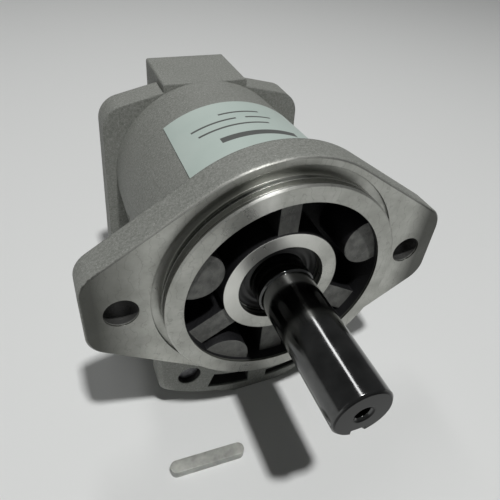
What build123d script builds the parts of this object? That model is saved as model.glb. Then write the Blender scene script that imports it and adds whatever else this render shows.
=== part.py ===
from build123d import *
import math
import os

os.makedirs("parts", exist_ok=True)

# External gear motor on a two-bolt SAE A flange, in millimetres with +Z up.
# The shaft points to -Y. Y = 0 is the flange's mounting face, and the drive
# axis is X = 0, Z = 0. The motor rests on the flat underside of its housing.

# Flange and pilot
pilot_r = 41.275
pilot_height = 6.35
pilot_chamfer = 0.6
pilot_groove_near = 2.6
pilot_groove_width = 2.4
pilot_groove_depth = 1.8
relief_r = 44.0
relief_height = 1.4
relief_depth = 1.0
bolt_spacing = 106.4
bolt_hole_r = 5.55
flange_thickness = 11.0
flange_round_r = 47.0
ear_margin = 11.8
ear_corner_r = 10.0
ear_corner_z = 8.5
flange_edge = 0.8

# Front pocket, hub, ribs and bosses
pocket_r = 35.2
pocket_floor_y = 14.0
hub_r = 20.9
hub_bore_r = 15.6
hub_face_y = -2.6
hub_seat_y = 10.0
top_rib_width = 7.0
rib_width = 9.0
rib_face_y = -1.7
rib_spread = 59.0
rib_root = 3.0
boss_face_y = -4.0
screw_boss_r = 8.9
gallery_boss_r = 10.0
gallery_boss_x = 20.5
gallery_boss_z = -31.0

# Body: the upper lobe drops and narrows towards the rear
lobe_front_r = 41.0
lobe_rear_r = 40.0
lobe_drop = 2.6
lower_lobe_r = 35.0
lower_draft = 0.6
lug_r = 8.5
foot_x = 17.0
foot_r = 9.5
foot_cut = 1.3
floor_z = -68.2

# Front plate under the flange, with two cast windows in it
front_plate_y = 5.5
front_plate_end_y = 16.0
front_plate_half = 42.0
front_plate_arc_r = 68.5
front_plate_corner_r = 8.0
front_plate_edge = 1.6
window_outer_r = 64.0
left_window_height = 7.5
right_window_height = 4.0
window_gap = 8.0
window_end_angle = 20.3
window_depth = 8.0

# Gears
teeth = 12
centre_distance = 34.0
pressure_angle = 25.0
addendum = 2.7
dedendum = 3.5
gear_backlash = 0.3
gear_width = 25.3

# Gear chamber and bearing blocks
chamber_start_y = 20.0
tip_clearance = 0.12
block_clearance = 0.1
block_length = 18.0
end_gap = 0.3
side_gap = 0.05
bush_wall = 1.6
bush_fit = 0.05
journal_r = 11.0
journal_fit = 0.05
seal_groove_outer = 18.4
seal_groove_inner = 16.0
seal_groove_depth = 3.0
seal_clearance = 0.15
backup_thickness = 0.9
seal_face_gap = 0.05

# Shaft
shaft_r = 9.525
shaft_reach = 55.2
shaft_chamfer = 0.8
seal_journal_r = 10.1
shoulder_y = -7.0
journal_chamfer = 0.5
centre_hole_r = 2.5
centre_hole_depth = 12.0
centre_cone_r = 3.4
journal_end_gap = 1.0
passage_r = 11.5

# Key
key_width = 4.76
key_height = 3.6
key_length = 28.5
key_slot_fit = 0.03
key_slot_depth = 2.75
key_slot_length = 33.0
key_rest_x = -30.8
key_rest_y = -21.2
key_rest_turn = -2.0

# Shaft seal
seal_face_y = 1.6
seal_face_thickness = 1.1
seal_rubber_inner = 11.3
seal_lip_fit = 0.05
lip_start = 3.4
lip_land = 0.8
lip_back = 0.2
dust_lip_reach = 0.5
dust_lip_back = 0.3
seal_bevel = 0.4
lip_heel = 0.9
case_wall = 1.7
case_length = 5.8
seal_fit = 0.08
spring_r = 12.5
spring_section_r = 0.75
spring_back = 3.6
washer_thickness = 1.2

# Rear cover
cover_plate = 12.0
cover_hump = 19.0
cover_step = 0.5
cover_ear_r = 10.4
cover_ear_x = 33.0
cover_ear_z = 19.5
cover_corner_r = 9.5
cover_corner_x = 36.5
cover_corner_z = -48.0
cover_foot_r = 9.2
cover_lift = 1.0
pad_half = 18.0
pad_top_z = 37.0
hump_bottom_z = -58.0
pad_corner_r = 1.0

# Screws, washers and dowels
screw_r = 4.0
screw_x = 30.3
screw_top_z = 12.2
screw_low_x = 30.0
screw_low_z = -49.2
screw_tip_y = 12.0
low_screw_tip_y = 7.7
screw_head_r = 6.5
screw_head_height = 8.0
screw_socket_r = 3.4
screw_socket_depth = 4.0
screw_thread_fit = 0.05
screw_hole_fit = 0.4
blind_depth = 3.0
tip_recess_r = 4.6
tip_recess_depth = 3.2
washer_r = 7.6
screw_washer = 1.4
dowel_r = 3.0
dowel_length = 12.0
dowel_x = 31.0
dowel_z = -21.0
dowel_fit = 0.03

# Cover seal
cover_seal_r = 23.4
cover_seal_section = 1.8
cover_seal_fit = 0.15

# Ports
port_r = 9.3
port_depth = 16.0
port_face_x = 38.5
port_boss_r = 16.0
port_boss_depth = 15.0
port_spot_r = 14.0
gallery_r = 5.5
drain_r = 5.9
drain_depth = 12.0
drain_gallery_r = 2.5

# Rating plate on the round top of the body
label_near_y = 14.0
label_length = 43.5
label_half_angle = 38.5
label_thickness = 0.25
label_gap = 0.1

# Places that follow from the sizes above
driven_z = -centre_distance
ear_reach = bolt_spacing / 2 + ear_margin
pitch_r = centre_distance / 2
outer_r = pitch_r + addendum
root_r = pitch_r - dedendum
chamber_r = outer_r + tip_clearance
block_r = chamber_r - block_clearance
bush_inner_r = journal_r + journal_fit
bush_outer_r = bush_inner_r + bush_wall
front_block_y = chamber_start_y + end_gap
gear_start_y = front_block_y + block_length + side_gap
gear_end_y = gear_start_y + gear_width
rear_block_y = gear_end_y + side_gap
rear_block_end_y = rear_block_y + block_length
cover_face_y = rear_block_end_y + end_gap
plate_end_y = cover_face_y + cover_plate
cover_end_y = plate_end_y + cover_hump
port_y = (gear_start_y + gear_end_y) / 2
port_z = driven_z / 2
screw_seat_y = plate_end_y + screw_washer
cover_bottom_z = floor_z + cover_lift
foot_z = floor_z - foot_cut + foot_r
label_end_y = label_near_y + label_length
lip_r = seal_journal_r + seal_lip_fit
rear_block_mid_z = (pad_top_z + hump_bottom_z) / 2


def face(y):
    return Plane.XZ.offset(-y)


def gear_outline(centre_z, phase):
    base_r = pitch_r * math.cos(math.radians(pressure_angle))
    start_r = max(base_r, root_r)
    thin = gear_backlash / 4 / pitch_r
    half_pitch = math.pi / 2 / teeth - thin
    at_pitch = math.tan(math.radians(pressure_angle)) - math.radians(pressure_angle)
    flank = []
    for step in range(5):
        r = start_r + (outer_r - start_r) * step / 4
        roll = math.acos(min(1.0, base_r / r))
        half = half_pitch + at_pitch - (math.tan(roll) - roll)
        flank.append((r * math.cos(half), r * math.sin(half)))
    foot_r = root_r - 0.4
    foot_half = half_pitch + at_pitch
    foot = (foot_r * math.cos(foot_half), foot_r * math.sin(foot_half))
    low_flank = [(x, -y) for x, y in flank]
    low_foot = (foot[0], -foot[1])
    tooth = Face(
        Wire(
            [
                Edge.make_line(low_foot, low_flank[0]),
                Edge.make_spline(low_flank),
                Edge.make_three_point_arc(low_flank[-1], (outer_r, 0), flank[-1]),
                Edge.make_spline(flank[::-1]),
                Edge.make_line(flank[0], foot),
                Edge.make_line(foot, low_foot),
            ]
        )
    )
    with Locations((0, centre_z)):
        Circle(root_r)
        with PolarLocations(0, teeth, start_angle=phase):
            add(tooth)


def twin_circles(r, mode=Mode.ADD):
    with Locations((0, 0), (0, driven_z)):
        Circle(r, mode=mode)


def hull_of(circles):
    edges = [Edge.make_circle(r, Plane(origin=(x, z, 0))) for x, z, r in circles]
    make_hull(edges)


def lobe_at(y):
    share = (y - front_plate_y) / (cover_face_y - front_plate_y)
    return lobe_front_r + share * (lobe_rear_r - lobe_front_r), -share * lobe_drop


def both_sides(x, z, r):
    return [(-x, z, r), (x, z, r)]


top_screws = [(-screw_x, screw_top_z), (screw_x, screw_top_z)]
low_screws = [(-screw_low_x, screw_low_z), (screw_low_x, screw_low_z)]
all_screws = top_screws + low_screws
dowels = [(-dowel_x, dowel_z), (dowel_x, dowel_z)]
ribs_at = [
    (90, top_rib_width),
    (270 - rib_spread, rib_width),
    (270, rib_width),
    (270 + rib_spread, rib_width),
]

# Housing: front plate, body, flange, pilot and front pocket in one casting
with BuildPart() as motor_housing:
    # Front plate, rounded below on an arc about the drive axis
    with BuildSketch(face(front_plate_y)):
        hull_of(
            [(0, 0, lobe_rear_r - lobe_drop)]
            + both_sides(front_plate_half - lug_r, driven_z, lug_r)
            + both_sides(front_plate_half - lug_r, -front_plate_arc_r, lug_r)
        )
        Circle(front_plate_arc_r, mode=Mode.INTERSECT)
        fillet(vertices().sort_by(Axis.Y)[:2], front_plate_corner_r)
    front_plate = extrude(amount=front_plate_y - front_plate_end_y)
    chamfer(
        front_plate.edges().filter_by_position(Axis.Y, front_plate_y - 0.01, front_plate_y + 0.01),
        front_plate_edge,
    )
    # Body round the gears, with the lugs of the lower screws and the foot
    with BuildSketch(face(front_plate_y)):
        hull_of([(0, 0, lobe_front_r - 0.01), (0, driven_z, lower_lobe_r + lower_draft)])
    with BuildSketch(face(cover_face_y)):
        hull_of([(0, -lobe_drop, lobe_rear_r), (0, driven_z, lower_lobe_r)])
    loft(ruled=True)
    with BuildSketch(face(flange_thickness)):
        hull_of(
            [(0, driven_z, lower_lobe_r - 1)]
            + both_sides(screw_low_x, screw_low_z, lug_r)
            + both_sides(foot_x, foot_z, foot_r)
        )
    extrude(amount=flange_thickness - cover_face_y)
    # Machined underside that the motor rests on
    with BuildSketch(Plane.XY.offset(floor_z)):
        with Locations((0, cover_face_y / 2)):
            Rectangle(4 * front_plate_half, 2 * cover_face_y)
    extrude(amount=-2 * foot_r, mode=Mode.SUBTRACT)
    with BuildSketch(face(0)):
        ear_x = ear_reach - ear_corner_r
        corners = [(sx * ear_x, sz * ear_corner_z) for sx in (-1, 1) for sz in (-1, 1)]
        hull_of([(0, 0, flange_round_r)] + [(x, z, ear_corner_r) for x, z in corners])
    flange_solid = extrude(amount=-flange_thickness)
    rim = flange_solid.edges().filter_by_position(Axis.Y, -0.01, 0.01)
    chamfer(rim, flange_edge)
    with BuildSketch(face(-pilot_height)):
        Circle(pilot_r)
    extrude(amount=-pilot_height)
    pilot_rim = motor_housing.edges().filter_by_position(
        Axis.Y, -pilot_height - 0.01, -pilot_height + 0.01
    )
    chamfer(pilot_rim, pilot_chamfer)
    # O-ring groove round the pilot, and the relief at its foot
    with BuildSketch(face(-pilot_groove_near - pilot_groove_width)):
        Circle(pilot_r + 1)
        Circle(pilot_r - pilot_groove_depth, mode=Mode.SUBTRACT)
    extrude(amount=-pilot_groove_width, mode=Mode.SUBTRACT)
    with BuildSketch(face(-relief_height)):
        Circle(relief_r)
        Circle(pilot_r - relief_depth, mode=Mode.SUBTRACT)
    extrude(amount=-relief_height - relief_depth, mode=Mode.SUBTRACT)
    # Front pocket round the hub
    with BuildSketch(face(-pilot_height)):
        Circle(pocket_r)
    extrude(amount=-pilot_height - pocket_floor_y, mode=Mode.SUBTRACT)
    with BuildSketch(face(hub_face_y)):
        Circle(hub_r)
    extrude(amount=hub_face_y - pocket_floor_y)
    with BuildSketch(face(rib_face_y)):
        for angle, width in ribs_at:
            reach = (hub_bore_r + pocket_r + rib_root) / 2
            turn = math.radians(angle)
            with Locations(Location((reach * math.cos(turn), reach * math.sin(turn)), angle)):
                Rectangle(pocket_r + rib_root - hub_bore_r, width)
        Circle(hub_r - 1, mode=Mode.SUBTRACT)
    extrude(amount=rib_face_y - pocket_floor_y)
    with BuildSketch(face(boss_face_y)):
        with Locations(*top_screws):
            Circle(screw_boss_r)
        with Locations((-gallery_boss_x, gallery_boss_z), (gallery_boss_x, gallery_boss_z)):
            Circle(gallery_boss_r)
        Circle(pocket_r + rib_root, mode=Mode.INTERSECT)
    extrude(amount=boss_face_y - pocket_floor_y)
    # Seal seat and shaft passage
    with BuildSketch(face(hub_face_y)):
        Circle(hub_bore_r)
    extrude(amount=hub_face_y - hub_seat_y, mode=Mode.SUBTRACT)
    with BuildSketch(face(hub_face_y)):
        Circle(passage_r)
    extrude(amount=hub_face_y - chamber_start_y, mode=Mode.SUBTRACT)
    # Gear chamber, open to the rear
    with BuildSketch(face(chamber_start_y)):
        twin_circles(chamber_r)
    extrude(amount=chamber_start_y - cover_face_y, mode=Mode.SUBTRACT)
    # Cover seal groove in the rear face
    with BuildSketch(face(cover_face_y - cover_seal_section - cover_seal_fit)):
        with Locations((0, driven_z / 2)):
            SlotCenterToCenter(
                centre_distance,
                2 * (cover_seal_r + cover_seal_section / 2 + cover_seal_fit),
                rotation=90,
            )
            SlotCenterToCenter(
                centre_distance,
                2 * (cover_seal_r - cover_seal_section / 2 - cover_seal_fit),
                rotation=90,
                mode=Mode.SUBTRACT,
            )
    extrude(amount=-cover_seal_section - cover_seal_fit, mode=Mode.SUBTRACT)
    # Mounting holes
    with BuildSketch(face(0)):
        with Locations((-bolt_spacing / 2, 0), (bolt_spacing / 2, 0)):
            Circle(bolt_hole_r)
    extrude(amount=-flange_thickness, mode=Mode.SUBTRACT)
    # Threads of the cover screws: blind at the top, through to the front below
    with BuildSketch(face(screw_tip_y - blind_depth)):
        with Locations(*top_screws):
            Circle(screw_r + screw_thread_fit)
    extrude(amount=screw_tip_y - blind_depth - cover_face_y, mode=Mode.SUBTRACT)
    with BuildSketch(face(front_plate_y)):
        with Locations(*low_screws):
            Circle(screw_r + screw_thread_fit)
    extrude(amount=front_plate_y - cover_face_y, mode=Mode.SUBTRACT)
    with BuildSketch(face(front_plate_y)):
        with Locations(*low_screws):
            Circle(tip_recess_r)
    extrude(amount=-tip_recess_depth, mode=Mode.SUBTRACT)
    with BuildSketch(face(cover_face_y - dowel_length / 2)):
        with Locations(*dowels):
            Circle(dowel_r + dowel_fit)
    extrude(amount=-dowel_length / 2, mode=Mode.SUBTRACT)
    # Cast windows in the front plate, curved about the drive axis
    window_slope = math.tan(math.radians(window_end_angle))
    for side, height in ((-1, left_window_height), (1, right_window_height)):
        inner_r = window_outer_r - height
        with BuildSketch(face(front_plate_y)):
            Circle(window_outer_r)
            Circle(inner_r, mode=Mode.SUBTRACT)
            Polygon(
                (side * window_gap / 2, -inner_r / 2),
                (side * window_gap / 2, -front_plate_arc_r),
                (side * front_plate_arc_r * window_slope, -front_plate_arc_r),
                (side * inner_r / 2 * window_slope, -inner_r / 2),
                align=None,
                mode=Mode.INTERSECT,
            )
        extrude(amount=-window_depth, mode=Mode.SUBTRACT)
    # Side ports, level with the mesh of the gears, each in a flat boss
    for side in (-1, 1):
        mouth = Plane(origin=(side * port_face_x, port_y, port_z), z_dir=(side, 0, 0))
        with BuildSketch(mouth):
            Circle(port_boss_r)
        extrude(amount=-port_boss_depth)
        with BuildSketch(mouth):
            Circle(port_spot_r)
        extrude(amount=lobe_front_r, mode=Mode.SUBTRACT)
        with BuildSketch(mouth):
            Circle(port_r)
        extrude(amount=-port_depth, mode=Mode.SUBTRACT)
        with BuildSketch(mouth):
            Circle(gallery_r)
        extrude(amount=-port_face_x, mode=Mode.SUBTRACT)
motor_housing.part.label = "motor_housing"
export_step(motor_housing.part, "parts/motor_housing.step")

# Rear cover: a plate with screw ears and the raised block on its back
with BuildPart() as rear_cover:
    with BuildSketch(face(cover_face_y)):
        hull_of(
            [(0, -lobe_drop, lobe_rear_r - cover_step)]
            + both_sides(cover_ear_x, cover_ear_z, cover_ear_r)
            + both_sides(cover_corner_x, cover_corner_z, cover_corner_r)
            + both_sides(foot_x, cover_bottom_z + cover_foot_r, cover_foot_r)
        )
    extrude(amount=-cover_plate)
    with BuildSketch(face(cover_face_y)):
        with Locations((0, rear_block_mid_z)):
            RectangleRounded(2 * pad_half, pad_top_z - hump_bottom_z, pad_corner_r)
    extrude(amount=-cover_plate - cover_hump)
    with BuildSketch(face(cover_face_y)):
        with Locations(*all_screws):
            Circle(screw_r + screw_hole_fit)
    extrude(amount=-cover_plate, mode=Mode.SUBTRACT)
    with BuildSketch(face(cover_face_y)):
        with Locations(*dowels):
            Circle(dowel_r + dowel_fit)
    extrude(amount=-dowel_length / 2, mode=Mode.SUBTRACT)
    with BuildSketch(face(cover_end_y - drain_depth)):
        with Locations((0, port_z)):
            Circle(drain_r)
    extrude(amount=-drain_depth, mode=Mode.SUBTRACT)
    with BuildSketch(face(cover_face_y)):
        with Locations((0, port_z)):
            Circle(drain_gallery_r)
    extrude(amount=-cover_plate, mode=Mode.SUBTRACT)
rear_cover.part.label = "rear_cover"
export_step(rear_cover.part, "parts/rear_cover.step")

# Drive shaft with its gear, turned and cut from one bar
keyway_side = Plane(origin=(0, 0, 0), x_dir=(0, 1, 0), z_dir=(-1, 0, 0))
with BuildPart() as drive_gear_shaft:
    with BuildSketch(keyway_side):
        with BuildLine():
            Polyline(
                (-shaft_reach, 0),
                (-shaft_reach, shaft_r - shaft_chamfer),
                (-shaft_reach + shaft_chamfer, shaft_r),
                (shoulder_y - journal_chamfer, shaft_r),
                (shoulder_y, seal_journal_r),
                (chamber_start_y - 1, seal_journal_r),
                (chamber_start_y, journal_r),
                (rear_block_end_y - journal_end_gap - journal_chamfer, journal_r),
                (rear_block_end_y - journal_end_gap, journal_r - journal_chamfer),
                (rear_block_end_y - journal_end_gap, 0),
                (-shaft_reach, 0),
            )
        make_face()
    revolve(axis=Axis.Y)
    with BuildSketch(face(gear_start_y)):
        gear_outline(0, 0)
    extrude(amount=-gear_width)
    # Keyway on the underside, open at the end of the shaft
    with BuildSketch(face(-shaft_reach)):
        with Locations((0, -shaft_r)):
            Rectangle(key_width + 2 * key_slot_fit, 2 * key_slot_depth)
    extrude(amount=-key_slot_length, mode=Mode.SUBTRACT)
    with BuildSketch(Plane.YZ):
        with BuildLine():
            Polyline(
                (-shaft_reach, 0),
                (-shaft_reach, centre_cone_r),
                (-shaft_reach + centre_cone_r - centre_hole_r, centre_hole_r),
                (-shaft_reach + centre_hole_depth, centre_hole_r),
                (-shaft_reach + centre_hole_depth + centre_hole_r / 2, 0),
                (-shaft_reach, 0),
            )
        make_face()
    revolve(axis=Axis.Y, mode=Mode.SUBTRACT)
drive_gear_shaft.part.label = "drive_gear_shaft"
export_step(drive_gear_shaft.part, "parts/drive_gear_shaft.step")

# Driven gear with a journal on each side
with BuildPart() as driven_gear_shaft:
    with BuildSketch(face(front_block_y + journal_end_gap)):
        with Locations((0, driven_z)):
            Circle(journal_r)
    extrude(amount=front_block_y + 2 * journal_end_gap - rear_block_end_y)
    ends = driven_gear_shaft.edges().filter_by(GeomType.CIRCLE)
    chamfer(ends, journal_chamfer)
    with BuildSketch(face(gear_start_y)):
        gear_outline(driven_z, 180 / teeth)
    extrude(amount=-gear_width)
driven_gear_shaft.part.label = "driven_gear_shaft"
export_step(driven_gear_shaft.part, "parts/driven_gear_shaft.step")

# Bearing blocks: each closes one side of the gears and carries two bushes
with BuildPart() as front_bearing_block:
    with BuildSketch(face(front_block_y)):
        twin_circles(block_r)
        twin_circles(bush_outer_r + bush_fit, Mode.SUBTRACT)
    extrude(amount=-block_length)
    with BuildSketch(face(front_block_y)):
        twin_circles(seal_groove_outer)
        twin_circles(seal_groove_inner, Mode.SUBTRACT)
    extrude(amount=-seal_groove_depth, mode=Mode.SUBTRACT)
front_bearing_block.part.label = "front_bearing_block"
export_step(front_bearing_block.part, "parts/front_bearing_block.step")

with BuildPart() as rear_bearing_block:
    with BuildSketch(face(rear_block_y)):
        twin_circles(block_r)
        twin_circles(bush_outer_r + bush_fit, Mode.SUBTRACT)
    extrude(amount=-block_length)
    with BuildSketch(face(rear_block_end_y - seal_groove_depth)):
        twin_circles(seal_groove_outer)
        twin_circles(seal_groove_inner, Mode.SUBTRACT)
    extrude(amount=-seal_groove_depth, mode=Mode.SUBTRACT)
rear_bearing_block.part.label = "rear_bearing_block"
export_step(rear_bearing_block.part, "parts/rear_bearing_block.step")

# Plain bushes, one under each journal
with BuildPart() as front_drive_bush:
    with BuildSketch(face(front_block_y)):
        Circle(bush_outer_r)
        Circle(bush_inner_r, mode=Mode.SUBTRACT)
    extrude(amount=-block_length)
front_drive_bush.part.label = "front_drive_bush"
export_step(front_drive_bush.part, "parts/front_drive_bush.step")

with BuildPart() as rear_drive_bush:
    with BuildSketch(face(rear_block_y)):
        Circle(bush_outer_r)
        Circle(bush_inner_r, mode=Mode.SUBTRACT)
    extrude(amount=-block_length)
rear_drive_bush.part.label = "rear_drive_bush"
export_step(rear_drive_bush.part, "parts/rear_drive_bush.step")

with BuildPart() as front_driven_bush:
    with BuildSketch(face(front_block_y)):
        with Locations((0, driven_z)):
            Circle(bush_outer_r)
            Circle(bush_inner_r, mode=Mode.SUBTRACT)
    extrude(amount=-block_length)
front_driven_bush.part.label = "front_driven_bush"
export_step(front_driven_bush.part, "parts/front_driven_bush.step")

with BuildPart() as rear_driven_bush:
    with BuildSketch(face(rear_block_y)):
        with Locations((0, driven_z)):
            Circle(bush_outer_r)
            Circle(bush_inner_r, mode=Mode.SUBTRACT)
    extrude(amount=-block_length)
rear_driven_bush.part.label = "rear_driven_bush"
export_step(rear_driven_bush.part, "parts/rear_driven_bush.step")

# Pressure seals in the outer faces of the blocks, with their backup rings
with BuildPart() as front_block_seal:
    with BuildSketch(face(chamber_start_y + seal_face_gap)):
        twin_circles(seal_groove_outer - seal_clearance)
        twin_circles(seal_groove_inner + seal_clearance, Mode.SUBTRACT)
    extrude(amount=seal_face_gap - end_gap - seal_groove_depth + backup_thickness + 0.1)
front_block_seal.part.label = "front_block_seal"
export_step(front_block_seal.part, "parts/front_block_seal.step")

with BuildPart() as front_backup_ring:
    with BuildSketch(face(front_block_y + seal_groove_depth - backup_thickness)):
        twin_circles(seal_groove_outer - seal_clearance)
        twin_circles(seal_groove_inner + seal_clearance, Mode.SUBTRACT)
    extrude(amount=-backup_thickness)
front_backup_ring.part.label = "front_backup_ring"
export_step(front_backup_ring.part, "parts/front_backup_ring.step")

with BuildPart() as rear_block_seal:
    with BuildSketch(face(cover_face_y - seal_face_gap)):
        twin_circles(seal_groove_outer - seal_clearance)
        twin_circles(seal_groove_inner + seal_clearance, Mode.SUBTRACT)
    extrude(amount=end_gap + seal_groove_depth - backup_thickness - 0.1 - seal_face_gap)
rear_block_seal.part.label = "rear_block_seal"
export_step(rear_block_seal.part, "parts/rear_block_seal.step")

with BuildPart() as rear_backup_ring:
    with BuildSketch(face(rear_block_end_y - seal_groove_depth)):
        twin_circles(seal_groove_outer - seal_clearance)
        twin_circles(seal_groove_inner + seal_clearance, Mode.SUBTRACT)
    extrude(amount=-backup_thickness)
rear_backup_ring.part.label = "rear_backup_ring"
export_step(rear_backup_ring.part, "parts/rear_backup_ring.step")

# Cover seal in its groove
with BuildPart() as cover_seal:
    with BuildSketch(face(cover_face_y - cover_seal_section)):
        with Locations((0, driven_z / 2)):
            SlotCenterToCenter(
                centre_distance, 2 * cover_seal_r + cover_seal_section, rotation=90
            )
            SlotCenterToCenter(
                centre_distance,
                2 * cover_seal_r - cover_seal_section,
                rotation=90,
                mode=Mode.SUBTRACT,
            )
    extrude(amount=-cover_seal_section)
cover_seal.part.label = "cover_seal"
export_step(cover_seal.part, "parts/cover_seal.step")

# Dowels that line the cover up with the housing
with BuildPart() as dowel_pins:
    with BuildSketch(face(cover_face_y - dowel_length / 2)):
        with Locations(*dowels):
            Circle(dowel_r)
    extrude(amount=-dowel_length)
dowel_pins.part.label = "dowel_pins"
export_step(dowel_pins.part, "parts/dowel_pins.step")

# Socket head screws from the rear, on flat washers
with BuildPart() as cover_screws:
    for tip_y, screws in ((screw_tip_y, top_screws), (low_screw_tip_y, low_screws)):
        with BuildSketch(face(tip_y)):
            with Locations(*screws):
                Circle(screw_r)
        extrude(amount=tip_y - screw_seat_y)
    with BuildSketch(face(screw_seat_y)):
        with Locations(*all_screws):
            Circle(screw_head_r)
    extrude(amount=-screw_head_height)
    with BuildSketch(face(screw_seat_y + screw_head_height - screw_socket_depth)):
        with Locations(*all_screws):
            RegularPolygon(screw_socket_r, 6, major_radius=False)
    extrude(amount=-screw_socket_depth, mode=Mode.SUBTRACT)
cover_screws.part.label = "cover_screws"
export_step(cover_screws.part, "parts/cover_screws.step")

with BuildPart() as screw_washers:
    with BuildSketch(face(plate_end_y)):
        with Locations(*all_screws):
            Circle(washer_r)
            Circle(screw_r + screw_hole_fit, mode=Mode.SUBTRACT)
    extrude(amount=-screw_washer)
screw_washers.part.label = "screw_washers"
export_step(screw_washers.part, "parts/screw_washers.step")

# Shaft seal: rubber lip, steel case, garter spring and support washer
with BuildPart() as shaft_seal_lip:
    with BuildSketch(Plane.YZ):
        with BuildLine():
            Polyline(
                (seal_face_y, hub_bore_r - seal_fit),
                (seal_face_y, seal_rubber_inner + seal_bevel),
                (seal_face_y - dust_lip_reach, lip_r),
                (seal_face_y + dust_lip_back, lip_r),
                (seal_face_y + seal_face_thickness, seal_rubber_inner),
                (seal_face_y + lip_start, lip_r),
                (seal_face_y + lip_start + lip_land, lip_r),
                (seal_face_y + lip_start + lip_land + lip_back, seal_rubber_inner),
                (seal_face_y + seal_face_thickness, seal_rubber_inner + lip_heel),
                (seal_face_y + seal_face_thickness, hub_bore_r - seal_fit),
                close=True,
            )
        make_face()
    revolve(axis=Axis.Y)
shaft_seal_lip.part.label = "shaft_seal_lip"
export_step(shaft_seal_lip.part, "parts/shaft_seal_lip.step")

with BuildPart() as shaft_seal_case:
    with BuildSketch(face(seal_face_y + seal_face_thickness)):
        Circle(hub_bore_r - seal_fit)
        Circle(hub_bore_r - seal_fit - case_wall, mode=Mode.SUBTRACT)
    extrude(amount=-case_length)
shaft_seal_case.part.label = "shaft_seal_case"
export_step(shaft_seal_case.part, "parts/shaft_seal_case.step")

with BuildPart() as seal_spring:
    with BuildSketch(Plane.YZ):
        with Locations((seal_face_y + spring_back, spring_r)):
            RegularPolygon(spring_section_r, 6)
    revolve(axis=Axis.Y)
seal_spring.part.label = "seal_spring"
export_step(seal_spring.part, "parts/seal_spring.step")

with BuildPart() as seal_support_washer:
    with BuildSketch(face(hub_seat_y - washer_thickness)):
        Circle(hub_bore_r - seal_fit)
        Circle(passage_r, mode=Mode.SUBTRACT)
    extrude(amount=-washer_thickness)
seal_support_washer.part.label = "seal_support_washer"
export_step(seal_support_washer.part, "parts/seal_support_washer.step")

# Loose key, lying flat on the floor in front of the flange
with BuildPart() as shaft_key:
    with BuildSketch(Plane.XY.offset(floor_z)):
        with Locations((key_rest_x, key_rest_y)):
            SlotOverall(key_length, key_width, rotation=key_rest_turn)
    extrude(amount=key_height)
shaft_key.part.label = "shaft_key"
export_step(shaft_key.part, "parts/shaft_key.step")

# Thin rating plate that follows the drafted upper lobe
with BuildPart() as rating_label:
    for skin, mode in (
        (label_gap + label_thickness, Mode.ADD),
        (label_gap, Mode.SUBTRACT),
    ):
        for y in (label_near_y, label_end_y):
            lobe_r, lobe_z = lobe_at(y)
            with BuildSketch(face(y)):
                with Locations((0, lobe_z)):
                    Circle(lobe_r + skin)
        loft(mode=mode)
    label_side_x = 2 * lobe_front_r * math.sin(math.radians(label_half_angle))
    label_side_z = 2 * lobe_front_r * math.cos(math.radians(label_half_angle))
    with BuildSketch(face(label_near_y)):
        Polygon(
            (0, 0),
            (label_side_x, label_side_z),
            (-label_side_x, label_side_z),
            align=None,
        )
    extrude(amount=-label_length, mode=Mode.INTERSECT)
rating_label.part.label = "rating_label"
export_step(rating_label.part, "parts/rating_label.step")
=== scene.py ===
import bpy
import bmesh
import math
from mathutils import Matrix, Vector


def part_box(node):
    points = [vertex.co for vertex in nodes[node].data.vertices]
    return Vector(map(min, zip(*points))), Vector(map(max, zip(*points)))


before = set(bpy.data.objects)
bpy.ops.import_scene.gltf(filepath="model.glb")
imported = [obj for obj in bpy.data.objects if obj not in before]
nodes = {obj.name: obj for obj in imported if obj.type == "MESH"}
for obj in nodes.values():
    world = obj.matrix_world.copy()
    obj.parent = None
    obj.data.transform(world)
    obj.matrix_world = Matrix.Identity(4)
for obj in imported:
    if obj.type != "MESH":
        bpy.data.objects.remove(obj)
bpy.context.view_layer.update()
scene = bpy.context.scene
scene.view_settings.view_transform = "Standard"

# Camera. It stands in front of the flange, to the left and above, where the
# photograph was taken from, with the angle of view fitted to the flange.
camera_data = bpy.data.cameras.new("photo_camera")
camera = bpy.data.objects.new("photo_camera", camera_data)
scene.collection.objects.link(camera)
camera_data.sensor_width = 36.0
camera_data.lens = 35.3685
camera_data.clip_start = 0.01
camera.rotation_euler = [math.radians(a) for a in (50.1945, -4.3981, -21.914)]
camera.location = (-0.063197, -0.10743, 0.114328)
scene.camera = camera

# Floor and backdrop. A plain pale matt sheet lies under the motor and curves
# up behind it, as paper does in a studio.
floor_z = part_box("motor_housing")[0].z
sheet_half = 1.5
sheet_shift = 0.3
curve_steps = 6
curve_step = 0.2
wall_height = 1.6
sheet_white = (0.74, 0.75, 0.74, 1)


def new_material(name):
    material = bpy.data.materials.new(name)
    material.use_nodes = True
    tree = material.node_tree
    return material, tree, tree.nodes["Principled BSDF"]


sheet = bmesh.new()
bmesh.ops.create_grid(sheet, x_segments=1, y_segments=1, size=sheet_half)
bmesh.ops.translate(sheet, verts=sheet.verts, vec=(0, sheet_shift, floor_z))
near_back = sheet_half + sheet_shift - 0.1
back_edge = [e for e in sheet.edges if all(v.co.y > near_back for v in e.verts)]
for turn in range(curve_steps):
    grown = bmesh.ops.extrude_edge_only(sheet, edges=back_edge)["geom"]
    new_verts = [g for g in grown if isinstance(g, bmesh.types.BMVert)]
    lift = math.radians(90 / curve_steps * (turn + 0.5))
    step = curve_step if turn < curve_steps - 1 else wall_height
    move = (0, step * math.cos(lift), step * math.sin(lift))
    bmesh.ops.translate(sheet, verts=new_verts, vec=move)
    back_edge = [g for g in grown if isinstance(g, bmesh.types.BMEdge)]
sheet_mesh = bpy.data.meshes.new("floor_sheet")
sheet.to_mesh(sheet_mesh)
sheet.free()
floor_sheet = bpy.data.objects.new("floor_sheet", sheet_mesh)
scene.collection.objects.link(floor_sheet)
sheet_finish, tree, bsdf = new_material("pale_sheet")
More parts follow.
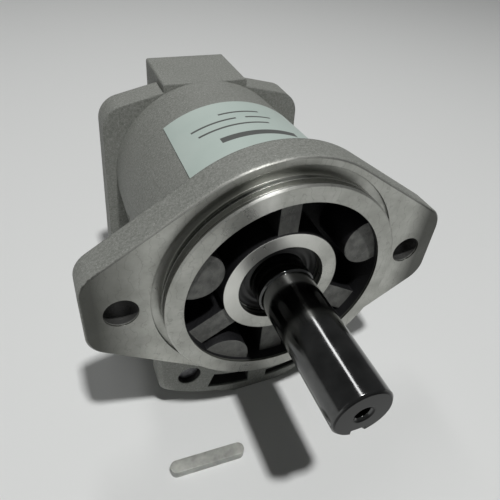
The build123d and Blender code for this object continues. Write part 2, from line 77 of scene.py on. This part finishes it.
bsdf.inputs["Base Color"].default_value = sheet_white
bsdf.inputs["Roughness"].default_value = 0.8
bsdf.inputs["Specular IOR Level"].default_value = 0.2
sheet_mesh.materials.append(sheet_finish)

# Lights. A small lamp box high over the front throws the sharp shadows, and a
# long strip behind draws the bright line on the shaft. The world is dim as
# light and paler in reflections, as the inside of a light tent.
room_light = 0.02
room_in_gloss = 0.14
room_white = (0.98, 1.0, 1.0, 1)
strip_x, strip_y, strip_z = 0.017, 0.373, 0.62
strip_turn = -0.21
world = bpy.data.worlds.new("studio")
scene.world = world
world.use_nodes = True
sky = world.node_tree.nodes["Background"]
ray = world.node_tree.nodes.new("ShaderNodeLightPath")
level = world.node_tree.nodes.new("ShaderNodeMapRange")
level.inputs["To Min"].default_value = room_light
level.inputs["To Max"].default_value = room_in_gloss
world.node_tree.links.new(ray.outputs["Is Glossy Ray"], level.inputs["Value"])
world.node_tree.links.new(level.outputs["Result"], sky.inputs["Strength"])
sky.inputs["Color"].default_value = room_white


def lamp_box(name, at, toward, size, power):
    data = bpy.data.lights.new(name, "AREA")
    data.shape = "RECTANGLE"
    data.size = size[0]
    data.size_y = size[1]
    data.energy = power
    lamp = bpy.data.objects.new(name, data)
    scene.collection.objects.link(lamp)
    lamp.location = at
    aim = Vector(toward) - Vector(at)
    lamp.rotation_euler = aim.to_track_quat("-Z", "Y").to_euler()
    return lamp


lamp_box("top_lamp", at=(0.03, -0.5, 1.5), toward=(0, 0, 0), size=(0.09, 0.09), power=20.0)
lamp_box("left_fill", at=(-0.7, -0.25, 0.25), toward=(0, 0.03, -0.02), size=(0.5, 0.5), power=0.45)
shaft_strip = lamp_box(
    "shaft_strip", at=(strip_x, strip_y, strip_z), toward=(strip_x, strip_y, 0), size=(0.07, 0.36), power=0.8
)
shaft_strip.rotation_euler.z = strip_turn

# Housing. One grey-iron casting: the flange, pilot, hub and body. Its sand
# skin is left as cast, and the flange face, pilot ring, hub face and ports
# are machined bright. The floor and walls of the front pocket round the hub
# are painted black as shade.
relief_r = 0.044
relief_y = 0.0011
pocket_r = 0.0352
hub_r = 0.0209
hub_face_y = -0.0025
pilot_face_y = -0.0056
pilot_face_blur = 0.0004
port_face_x = 0.0386
port_inner_x = 0.018
port_spot_r = 0.014
port_y = 0.051
driven_z = -0.034
port_z = driven_z / 2
bolt_hole = (0.0532, 0.0)
bolt_hole_r = 0.0057
low_screw = (0.03, -0.0492)
tip_recess_r = 0.0047
window_inner_r = 0.056
window_outer_r = 0.0641
window_end_x = 0.0242
window_floor_y = 0.0137
plate_inside_y = 0.0058
torn_edge = 0.0005
sharp = 0.0001
cast_dark = (0.175, 0.182, 0.163)
cast_pale = (0.27, 0.277, 0.255)
cast_cloud = (0.27, 0.275, 0.255)
cast_glint = (0.55, 0.55, 0.53)
turned_dark = (0.34, 0.343, 0.316)
turned_pale = (0.50, 0.503, 0.47)
turned_streak = (0.28, 0.28, 0.265)
pad_dark = (0.08, 0.081, 0.076)
pad_pale = (0.15, 0.152, 0.142)
# Painted shade for the pilot's side, banded by the tool.
side_shade_dark = (0.05, 0.052, 0.045)
side_shade_pale = (0.22, 0.225, 0.20)
# A painted highlight for the pilot's side.
side_painted_highlight = (0.66, 0.67, 0.63)
scratch_grey = (0.20, 0.20, 0.185)
# Painted shade for the ear ends, painted highlights for the hub and ring.
ear_end_painted_shade = (0.055, 0.056, 0.05)
hub_painted_highlight = (0.78, 0.78, 0.74)
ring_painted_highlight = (0.80, 0.80, 0.76)
# Painted shade for the holes, and painted black shade for the front pocket.
hole_painted_shade = (0.04, 0.04, 0.038)
pocket_painted_shade = (0.004, 0.004, 0.005)


def node_at(tree, kind, **settings):
    node = tree.nodes.new(kind)
    for key, value in settings.items():
        setattr(node, key, value)
    return node


def math_node(tree, operation, first, second=None):
    node = node_at(tree, "ShaderNodeMath", operation=operation)
    for slot, value in enumerate((first, second)):
        if value is None:
            continue
        if isinstance(value, (int, float)):
            node.inputs[slot].default_value = value
        else:
            tree.links.new(value, node.inputs[slot])
    return node.outputs[0]


def object_axes(tree):
    where = node_at(tree, "ShaderNodeTexCoord")
    split = node_at(tree, "ShaderNodeSeparateXYZ")
    tree.links.new(where.outputs["Object"], split.inputs[0])
    return where.outputs["Object"], split.outputs[0], split.outputs[1], split.outputs[2]


def grain(tree, vector, scale, detail=2.0, rough=0.5):
    noise = node_at(tree, "ShaderNodeTexNoise")
    noise.inputs["Scale"].default_value = scale
    noise.inputs["Detail"].default_value = detail
    noise.inputs["Roughness"].default_value = rough
    tree.links.new(vector, noise.inputs["Vector"])
    return noise.outputs["Fac"]


def ramp(tree, value, low, high, low_out=0.0, high_out=1.0):
    spread = node_at(tree, "ShaderNodeMapRange", clamp=True)
    for name, number in (("From Min", low), ("From Max", high), ("To Min", low_out), ("To Max", high_out)):
        spread.inputs[name].default_value = number
    tree.links.new(value, spread.inputs["Value"])
    return spread.outputs["Result"]


def above(tree, value, edge, blur=sharp):
    return ramp(tree, value, edge, edge + blur)


def below(tree, value, edge, blur=sharp):
    return ramp(tree, value, edge, edge + blur, 1.0, 0.0)


def blend_colour(tree, factor, first, second):
    mix = node_at(tree, "ShaderNodeMix", data_type="RGBA")
    tree.links.new(factor, mix.inputs["Factor"])
    for name, value in (("A", first), ("B", second)):
        socket = [s for s in mix.inputs if s.name == name and s.type == "RGBA"][0]
        if isinstance(value, tuple):
            socket.default_value = (*value, 1)
        else:
            tree.links.new(value, socket)
    return [s for s in mix.outputs if s.type == "RGBA"][0]


def blend_value(tree, factor, first, second):
    mix = node_at(tree, "ShaderNodeMix", data_type="FLOAT")
    tree.links.new(factor, mix.inputs[0])
    for slot, value in ((2, first), (3, second)):
        if isinstance(value, (int, float)):
            mix.inputs[slot].default_value = value
        else:
            tree.links.new(value, mix.inputs[slot])
    return mix.outputs[0]


def bump(tree, height, distance, strength, under):
    relief = node_at(tree, "ShaderNodeBump")
    relief.inputs["Distance"].default_value = distance
    relief.inputs["Strength"].default_value = strength
    tree.links.new(height, relief.inputs["Height"])
    tree.links.new(under, relief.inputs["Normal"])
    return relief.outputs["Normal"]


def product(tree, *values):
    result = values[0]
    for value in values[1:]:
        result = math_node(tree, "MULTIPLY", result, value)
    return result


def either(tree, *masks):
    result = masks[0]
    for mask in masks[1:]:
        result = math_node(tree, "MAXIMUM", result, mask)
    return result


def all_but(tree, mask):
    return math_node(tree, "SUBTRACT", 1.0, mask)


def distance_from(tree, across, along, at=(0.0, 0.0)):
    first = math_node(tree, "SUBTRACT", across, at[0])
    second = math_node(tree, "SUBTRACT", along, at[1])
    square = math_node(tree, "ADD", product(tree, first, first), product(tree, second, second))
    return math_node(tree, "SQRT", square)


def scaled(tree, vector, scale):
    stretch = node_at(tree, "ShaderNodeMapping")
    stretch.inputs["Scale"].default_value = scale
    tree.links.new(vector, stretch.inputs["Vector"])
    return stretch.outputs["Vector"]


def paint_node(name, material):
    nodes[name].data.materials.clear()
    nodes[name].data.materials.append(material)


def soft_edges(tree, radius):
    edge = node_at(tree, "ShaderNodeBevel", samples=4)
    edge.inputs["Radius"].default_value = radius
    return edge.outputs["Normal"]


def cast_skin(tree, where):
    speck = grain(tree, where, 3200, 2.0, 0.6)
    medium = grain(tree, where, 1300, 3.0, 0.65)
    broad = grain(tree, where, 42, 3.0)
    colour = blend_colour(tree, ramp(tree, medium, 0.38, 0.62), cast_dark, cast_pale)
    colour = blend_colour(tree, ramp(tree, broad, 0.35, 0.7, 0.0, 0.4), colour, cast_cloud)
    colour = blend_colour(tree, ramp(tree, speck, 0.62, 0.72, 0.0, 0.8), colour, cast_glint)
    relief = bump(tree, medium, 0.0003, 0.75, soft_edges(tree, 0.0009))
    relief = bump(tree, speck, 0.0001, 0.5, relief)
    return colour, relief


def turned_skin(tree, where, radius):
    mottle = grain(tree, where, 90, 4.0, 0.6)
    fine = grain(tree, where, 1500, 2.0, 0.6)
    rings = math_node(tree, "SINE", math_node(tree, "MULTIPLY", radius, 30000))
    streak = grain(tree, scaled(tree, where, (260, 260, 1900)), 1.0, 3.0, 0.7)
    colour = blend_colour(tree, ramp(tree, mottle, 0.3, 0.72), turned_dark, turned_pale)
    colour = blend_colour(tree, ramp(tree, streak, 0.55, 0.8, 0.0, 0.4), colour, turned_streak)
    relief = bump(tree, rings, 0.00001, 0.12, soft_edges(tree, 0.0003))
    relief = bump(tree, fine, 0.00006, 0.3, relief)
    return colour, relief, ramp(tree, mottle, 0.3, 0.7, 0.42, 0.26)


def dress(tree, bsdf, mask, cast, turned):
    cast_colour, cast_relief = cast
    turned_colour, turned_relief, turned_rough = turned
    normal = node_at(tree, "ShaderNodeMix", data_type="VECTOR")
    tree.links.new(mask, normal.inputs[0])
    tree.links.new(cast_relief, normal.inputs[4])
    tree.links.new(turned_relief, normal.inputs[5])
    tree.links.new(normal.outputs[1], bsdf.inputs["Normal"])
    tree.links.new(blend_value(tree, mask, 0.15, 0.9), bsdf.inputs["Metallic"])
    tree.links.new(blend_value(tree, mask, 0.6, turned_rough), bsdf.inputs["Roughness"])
    return blend_colour(tree, mask, cast_colour, turned_colour)


casting, tree, bsdf = new_material("iron_casting")
where, x, y, z = object_axes(tree)
aside = math_node(tree, "ABSOLUTE", x)
radius = distance_from(tree, x, z)
geometry = node_at(tree, "ShaderNodeNewGeometry")
facing = node_at(tree, "ShaderNodeSeparateXYZ")
tree.links.new(geometry.outputs["True Normal"], facing.inputs[0])
facing_y = facing.outputs[1]
torn = math_node(tree, "SUBTRACT", grain(tree, where, 900), 0.5)
torn = math_node(tree, "MULTIPLY", torn, torn_edge)
front = below(tree, math_node(tree, "ADD", y, torn), 0.0003, 0.0003)
relief_ring = product(tree, below(tree, radius, relief_r), below(tree, y, relief_y))
port = product(
    tree,
    below(tree, distance_from(tree, y, z, (port_y, port_z)), port_spot_r + 0.00002, 0.00008),
    below(tree, aside, port_face_x),
    above(tree, aside, port_inner_x, 0.0005),
)
in_pocket = product(
    tree,
    below(tree, radius, pocket_r + sharp),
    above(tree, radius, hub_r - 2 * sharp),
    above(tree, y, pilot_face_y, pilot_face_blur),
)
raised = product(tree, below(tree, facing_y, -0.9, 0.2), below(tree, y, -0.0010, 0.0004))
# Floor and walls of the pocket, without the raised faces, where black shade is painted.
pocket_shade_mask = product(tree, in_pocket, all_but(tree, raised))
machined = product(tree, either(tree, front, relief_ring, port), all_but(tree, in_pocket))
colour = dress(tree, bsdf, machined, cast_skin(tree, where), turned_skin(tree, where, radius))

# The raised faces of the ribs and bosses in the pocket are dark grey.
pad_tone = blend_colour(tree, ramp(tree, grain(tree, where, 260, 3.0), 0.35, 0.65), pad_dark, pad_pale)
colour = blend_colour(tree, product(tree, in_pocket, raised), colour, pad_tone)

# The pilot's side is banded by the tool and painted darker than the faces as shade,
# and the flat faces carry fine swirls.
side_wall = product(tree, below(tree, math_node(tree, "ABSOLUTE", facing_y), 0.3, 0.3), machined)
tool_bands = grain(tree, scaled(tree, where, (14, 900, 14)), 1.0)
side_shade_tone = blend_colour(tree, ramp(tree, tool_bands, 0.4, 0.6), side_shade_dark, side_shade_pale)
colour = blend_colour(tree, side_wall, colour, side_shade_tone)
swirl = node_at(tree, "ShaderNodeTexWave", wave_type="RINGS", rings_direction="Z")
for name, number in (("Scale", 95.0), ("Distortion", 9.0), ("Detail", 3.0), ("Detail Scale", 2.2)):
    swirl.inputs[name].default_value = number
tree.links.new(scaled(tree, where, (1.0, 0.0, 1.0)), swirl.inputs["Vector"])
scratch = product(tree, front, ramp(tree, swirl.outputs["Fac"], 0.0, 0.035, 0.35, 0.0))
colour = blend_colour(tree, scratch, colour, scratch_grey)

# Painted tones that follow the photograph's own light: the ends of the ears
# darken, and the upper hub face, ring face and ring side have brighter spots.
left_end = ramp(tree, x, -0.061, -0.044, 0.93, 0.0)
right_end = ramp(tree, x, 0.050, 0.059, 0.0, 0.9)
ear_end = product(tree, machined, either(tree, left_end, right_end), above(tree, y, -0.0005))
colour = blend_colour(tree, ear_end, colour, ear_end_painted_shade)
hub_face = product(tree, below(tree, radius, hub_r), below(tree, y, hub_face_y))
hub_spot = product(tree, hub_face, ramp(tree, math_node(tree, "SUBTRACT", z, x), -0.01, 0.02))
colour = blend_colour(tree, hub_spot, colour, hub_painted_highlight)
upper = ramp(tree, z, 0.02, 0.03)
side_spot = math_node(tree, "ABSOLUTE", math_node(tree, "ADD", x, 0.006))
side_spot = product(tree, side_wall, upper, ramp(tree, side_spot, 0.003, 0.010, 0.9, 0.0))
colour = blend_colour(tree, side_spot, colour, side_painted_highlight)
ring_spot = math_node(tree, "ABSOLUTE", math_node(tree, "ADD", x, 0.011))
ring_spot = product(tree, machined, upper, ramp(tree, ring_spot, 0.0015, 0.006, 0.7, 0.0))
ring_face = below(tree, y, pilot_face_y, pilot_face_blur)
colour = blend_colour(tree, product(tree, ring_spot, ring_face), colour, ring_painted_highlight)

# The bolt holes, cast windows and screw-tip recesses are painted dark as shade,
# and the floor and walls of the front pocket are painted black as shade.
bolt_bore = product(
    tree, below(tree, distance_from(tree, aside, z, bolt_hole), bolt_hole_r), above(tree, y, 0.0004, 0.0006)
)
window = product(
    tree,
    above(tree, radius, window_inner_r),
    below(tree, radius, window_outer_r),
    below(tree, aside, window_end_x),
    above(tree, y, plate_inside_y, 0.0008),
    below(tree, y, window_floor_y),
)
tip_recess = product(
    tree,
    below(tree, distance_from(tree, aside, z, low_screw), tip_recess_r),
    above(tree, y, plate_inside_y - sharp, 0.0003),
)
colour = blend_colour(tree, either(tree, bolt_bore, window, tip_recess), colour, hole_painted_shade)
colour = blend_colour(tree, pocket_shade_mask, colour, pocket_painted_shade)
tree.links.new(colour, bsdf.inputs["Base Color"])
paint_node("motor_housing", casting)

# Rear cover. A second iron casting, screwed to the back of the housing. The
# lower part of its mating face, its screw seats and the face round its drain
# port are machined.
mating_r = 0.030
mating_y = 0.0821
drain_spot_r = 0.0095
drain_face_y = 0.0999
seat_r = 0.0086
seat_y = 0.0939
top_screw = (0.0303, 0.0122)
cover_iron, tree, bsdf = new_material("cover_iron")
where, x, y, z = object_axes(tree)
aside = math_node(tree, "ABSOLUTE", x)
mating = product(
    tree, below(tree, distance_from(tree, x, z, (0.0, driven_z)), mating_r, 0.001), below(tree, y, mating_y)
)
round_drain = distance_from(tree, x, z, (0.0, port_z))
drain = product(tree, below(tree, round_drain, drain_spot_r), above(tree, y, drain_face_y))
seats = [
    product(tree, below(tree, distance_from(tree, aside, z, at), seat_r), above(tree, y, seat_y))
    for at in (top_screw, low_screw)
]
machined = either(tree, mating, drain, *seats)
colour = dress(tree, bsdf, machined, cast_skin(tree, where), turned_skin(tree, where, round_drain))
tree.links.new(colour, bsdf.inputs["Base Color"])
paint_node("rear_cover", cover_iron)

# Drive shaft. Alloy steel, ground and then blackened outside. Its gear and its
# two journals run in oil and stay bright. It turns in the bushes.
journal_start_y = 0.0199
shaft_end_y = -0.0549
black_dark = (0.085, 0.086, 0.086)
black_pale = (0.13, 0.131, 0.13)
end_black = (0.035, 0.035, 0.035)
oiled_steel = (0.55, 0.55, 0.56)
black_steel, tree, bsdf = new_material("black_steel")
where, x, y, z = object_axes(tree)
inside = above(tree, y, journal_start_y, 2 * sharp)
end_face = below(tree, y, shaft_end_y, 3 * sharp)
smudge = grain(tree, where, 120, 3.0, 0.6)
hair_lines = grain(tree, scaled(tree, where, (2600, 60, 2600)), 1.0, 2.0, 0.6)
outside = blend_colour(tree, ramp(tree, smudge, 0.35, 0.7), black_dark, black_pale)
outside = blend_colour(tree, end_face, outside, end_black)
tree.links.new(blend_colour(tree, inside, outside, oiled_steel), bsdf.inputs["Base Color"])
rough = blend_value(tree, end_face, ramp(tree, smudge, 0.3, 0.7, 0.10, 0.17), 0.4)
tree.links.new(blend_value(tree, inside, rough, 0.28), bsdf.inputs["Roughness"])
bsdf.inputs["Metallic"].default_value = 1.0
tree.links.new(bump(tree, hair_lines, 0.00001, 0.15, soft_edges(tree, 0.0002)), bsdf.inputs["Normal"])
paint_node("drive_gear_shaft", black_steel)


# Inner metal parts. The driven gear, dowels, seal case, spring and support
# washer are ground steel, the bearing blocks aluminium alloy, the bushes bronze.
def plain_metal(name, low, high, roughness, scale):
    material, tree, bsdf = new_material(name)
    where = object_axes(tree)[0]
    mottle = grain(tree, where, scale, 3.0, 0.6)
    tree.links.new(blend_colour(tree, ramp(tree, mottle, 0.35, 0.65), low, high), bsdf.inputs["Base Color"])
    rough = ramp(tree, mottle, 0.3, 0.7, roughness - 0.05, roughness + 0.06)
    tree.links.new(rough, bsdf.inputs["Roughness"])
    bsdf.inputs["Metallic"].default_value = 1.0
    tree.links.new(bump(tree, mottle, 0.00003, 0.25, soft_edges(tree, 0.0002)), bsdf.inputs["Normal"])
    return material


ground_steel = plain_metal("ground_steel", (0.50, 0.50, 0.51), (0.62, 0.62, 0.63), 0.25, 500)
block_alloy = plain_metal("block_alloy", (0.62, 0.62, 0.63), (0.74, 0.74, 0.75), 0.38, 400)
bush_bronze = plain_metal("bush_bronze", (0.50, 0.34, 0.18), (0.64, 0.45, 0.26), 0.35, 500)
for name in ("driven_gear_shaft", "dowel_pins", "shaft_seal_case", "seal_spring", "seal_support_washer"):
    paint_node(name, ground_steel)
for name in ("front_bearing_block", "rear_bearing_block"):
    paint_node(name, block_alloy)
for name in ("front_drive_bush", "rear_drive_bush", "front_driven_bush", "rear_driven_bush"):
    paint_node(name, bush_bronze)

# Fasteners. Dark zinc-flaked cap screws and their flat washers hold the cover
# on. The loose shaft key is plain drawn steel.
fastener_steel = plain_metal("fastener_steel", (0.10, 0.10, 0.105), (0.18, 0.18, 0.185), 0.4, 700)
key_steel = plain_metal("key_steel", (0.26, 0.265, 0.25), (0.50, 0.505, 0.48), 0.42, 130)
for name in ("cover_screws", "screw_washers"):
    paint_node(name, fastener_steel)
paint_node("shaft_key", key_steel)

# Rubber and plastic. The shaft seal lip is black nitrile pressed in the hub,
# the block and cover seals are rubber cords, backed by plastic rings.
lip_ring_pitch = 2600
rubber_black = (0.004, 0.004, 0.004)
rubber_dusty = (0.012, 0.012, 0.012)
plastic_dark = (0.66, 0.64, 0.58)
plastic_pale = (0.74, 0.72, 0.66)
seal_rubber, tree, bsdf = new_material("seal_rubber")
where, x, y, z = object_axes(tree)
dust = ramp(tree, grain(tree, where, 300, 3.0), 0.4, 0.75)
lip_rings = math_node(tree, "SINE", math_node(tree, "MULTIPLY", distance_from(tree, x, z), lip_ring_pitch))
tree.links.new(blend_colour(tree, dust, rubber_black, rubber_dusty), bsdf.inputs["Base Color"])
bsdf.inputs["Roughness"].default_value = 0.4
tree.links.new(bump(tree, lip_rings, 0.0002, 0.3, soft_edges(tree, 0.0003)), bsdf.inputs["Normal"])
for name in ("shaft_seal_lip", "front_block_seal", "rear_block_seal", "cover_seal"):
    paint_node(name, seal_rubber)
backup_plastic, tree, bsdf = new_material("backup_plastic")
cloud = ramp(tree, grain(tree, object_axes(tree)[0], 90), 0.35, 0.65)
tree.links.new(blend_colour(tree, cloud, plastic_dark, plastic_pale), bsdf.inputs["Base Color"])
bsdf.inputs["Roughness"].default_value = 0.45
for name in ("front_backup_ring", "rear_backup_ring"):
    paint_node(name, backup_plastic)

# Rating label. A thin mint-white film with plain ruled bars, stuck on the round
# top of the body. Each bar has a place along the motor, half its height, and
# its two ends in degrees round the top.
wide_bar = (0.0295, 0.0016, -17.0, 22.0)
thin_bars = (
    (0.0375, 0.0005, -25.0, 12.0),
    (0.0425, 0.0005, -27.0, -3.0),
    (0.0425, 0.0005, 2.0, 16.0),
    (0.0475, 0.0005, -10.0, 12.0),
)
bar_end_blur = 0.004
lobe_middle_drop = 0.001
film_dark = (0.45, 0.53, 0.49)
film_pale = (0.49, 0.565, 0.525)
bar_grey = (0.10, 0.105, 0.10)
label_film, tree, bsdf = new_material("label_film")
where, x, y, z = object_axes(tree)
around = math_node(tree, "ARCTAN2", x, math_node(tree, "ADD", z, lobe_middle_drop))


def ruled_bar(tree, along, around, middle, half_height, left, right):
    from_middle = math_node(tree, "ABSOLUTE", math_node(tree, "SUBTRACT", along, middle))
    begin = above(tree, around, math.radians(left), bar_end_blur)
    end = below(tree, around, math.radians(right), bar_end_blur)
    return product(tree, below(tree, from_middle, half_height), begin, end)


bars = either(tree, *[ruled_bar(tree, y, around, *bar) for bar in (wide_bar, *thin_bars)])
film = blend_colour(tree, ramp(tree, grain(tree, where, 60), 0.3, 0.7), film_dark, film_pale)
tree.links.new(blend_colour(tree, bars, film, bar_grey), bsdf.inputs["Base Color"])
bsdf.inputs["Roughness"].default_value = 0.38
paint_node("rating_label", label_film)
